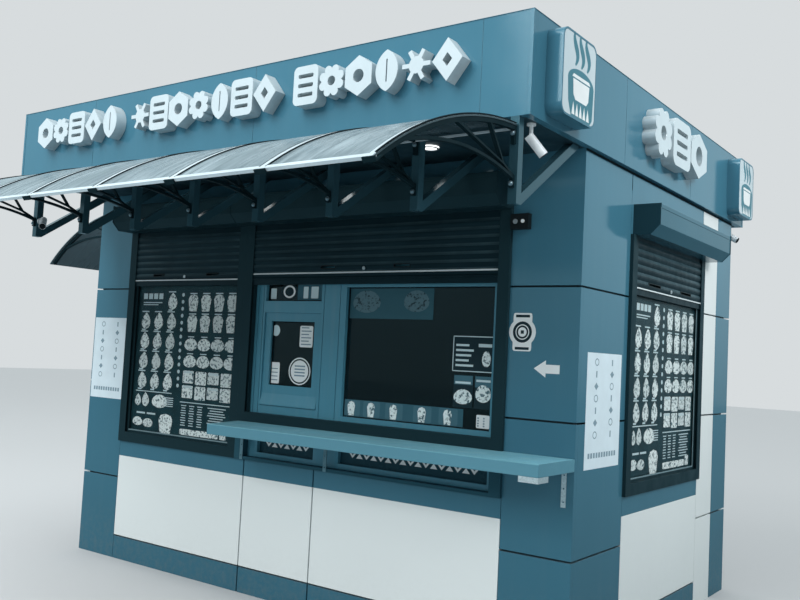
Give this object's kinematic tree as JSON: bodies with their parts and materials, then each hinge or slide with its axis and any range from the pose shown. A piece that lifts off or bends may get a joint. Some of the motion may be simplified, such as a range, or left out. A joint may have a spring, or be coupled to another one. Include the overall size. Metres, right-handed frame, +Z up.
{
  "type": "street kiosk",
  "caption": "Free-standing street kiosk with a serving hatch and counter, menu windows, roller shutters, a tall fascia and an arched canopy on open brackets.",
  "frame": {"origin": "ground level, in the middle of the cladding's outer faces", "axes": "+Z up, front with the counter and the canopy towards -Y, +X to the right seen from the front"},
  "size_m": [5.1397, 4.482, 3.15],
  "materials": {
    "floor_slab": "matt",
    "wall_panel": "satin",
    "soffit_panel": "satin",
    "teal_cladding": "satin",
    "white_cladding": "satin",
    "dark_frame": "satin",
    "teal_frame": "satin",
    "window_glass": "clear",
    "ornament_pane": "printed",
    "menu_board": "matt",
    "shutter_slat": "satin",
    "zinc_bracket": "galvanised",
    "dark_steel": "satin",
    "canopy_sheet": "translucent",
    "bright_rail": "satin",
    "sign_face": "opal",
    "lamp_face": "opal",
    "camera_shell": "satin",
    "black_box": "matt"
  },
  "bodies": {
    "root": {"floor": "floor_slab", "front_wall": "wall_panel", "back_wall": "wall_panel", "left_wall": "wall_panel", "right_wall": "wall_panel", "roof_slab": "soffit_panel", "fascia_front": "teal_cladding", "fascia_sides": "teal_cladding", "fascia_back": "teal_cladding", "front_piers": "teal_cladding", "right_piers": "teal_cladding", "left_cladding": "teal_cladding", "back_cladding": "teal_cladding", "front_bands": "teal_cladding", "right_bands": "teal_cladding", "front_white_panels": "white_cladding", "right_white_panels": "white_cladding", "left_window_frame": "dark_frame", "right_window_frame": "dark_frame", "menu_window_glass": "window_glass", "menu_boards": "menu_board", "serving_guides": "dark_frame", "serving_unit": "teal_frame", "hatch_sash": "teal_frame", "serving_glass": "window_glass", "lower_panes": "ornament_pane", "front_shutter_boxes": "dark_frame", "right_shutter_box": "teal_frame", "left_shutter": "shutter_slat", "serving_shutter": "shutter_slat", "right_shutter": "shutter_slat", "counter_top": "teal_cladding", "counter_brackets": "zinc_bracket", "canopy_hangers": "teal_frame", "canopy_brackets": "dark_steel", "canopy_sheets": "canopy_sheet", "canopy_rails": "bright_rail", "front_raised_shapes": "sign_face", "side_raised_shapes": "sign_face", "sign_boxes": "teal_frame", "sign_faces": "sign_face", "staff_door": "teal_frame", "staff_door_frame": "dark_frame", "door_canopy_brackets": "dark_steel", "door_canopy_sheet": "canopy_sheet", "downlights": "lamp_face", "cctv_cameras": "camera_shell", "key_switch_box": "black_box"}
  },
  "joints": []
}
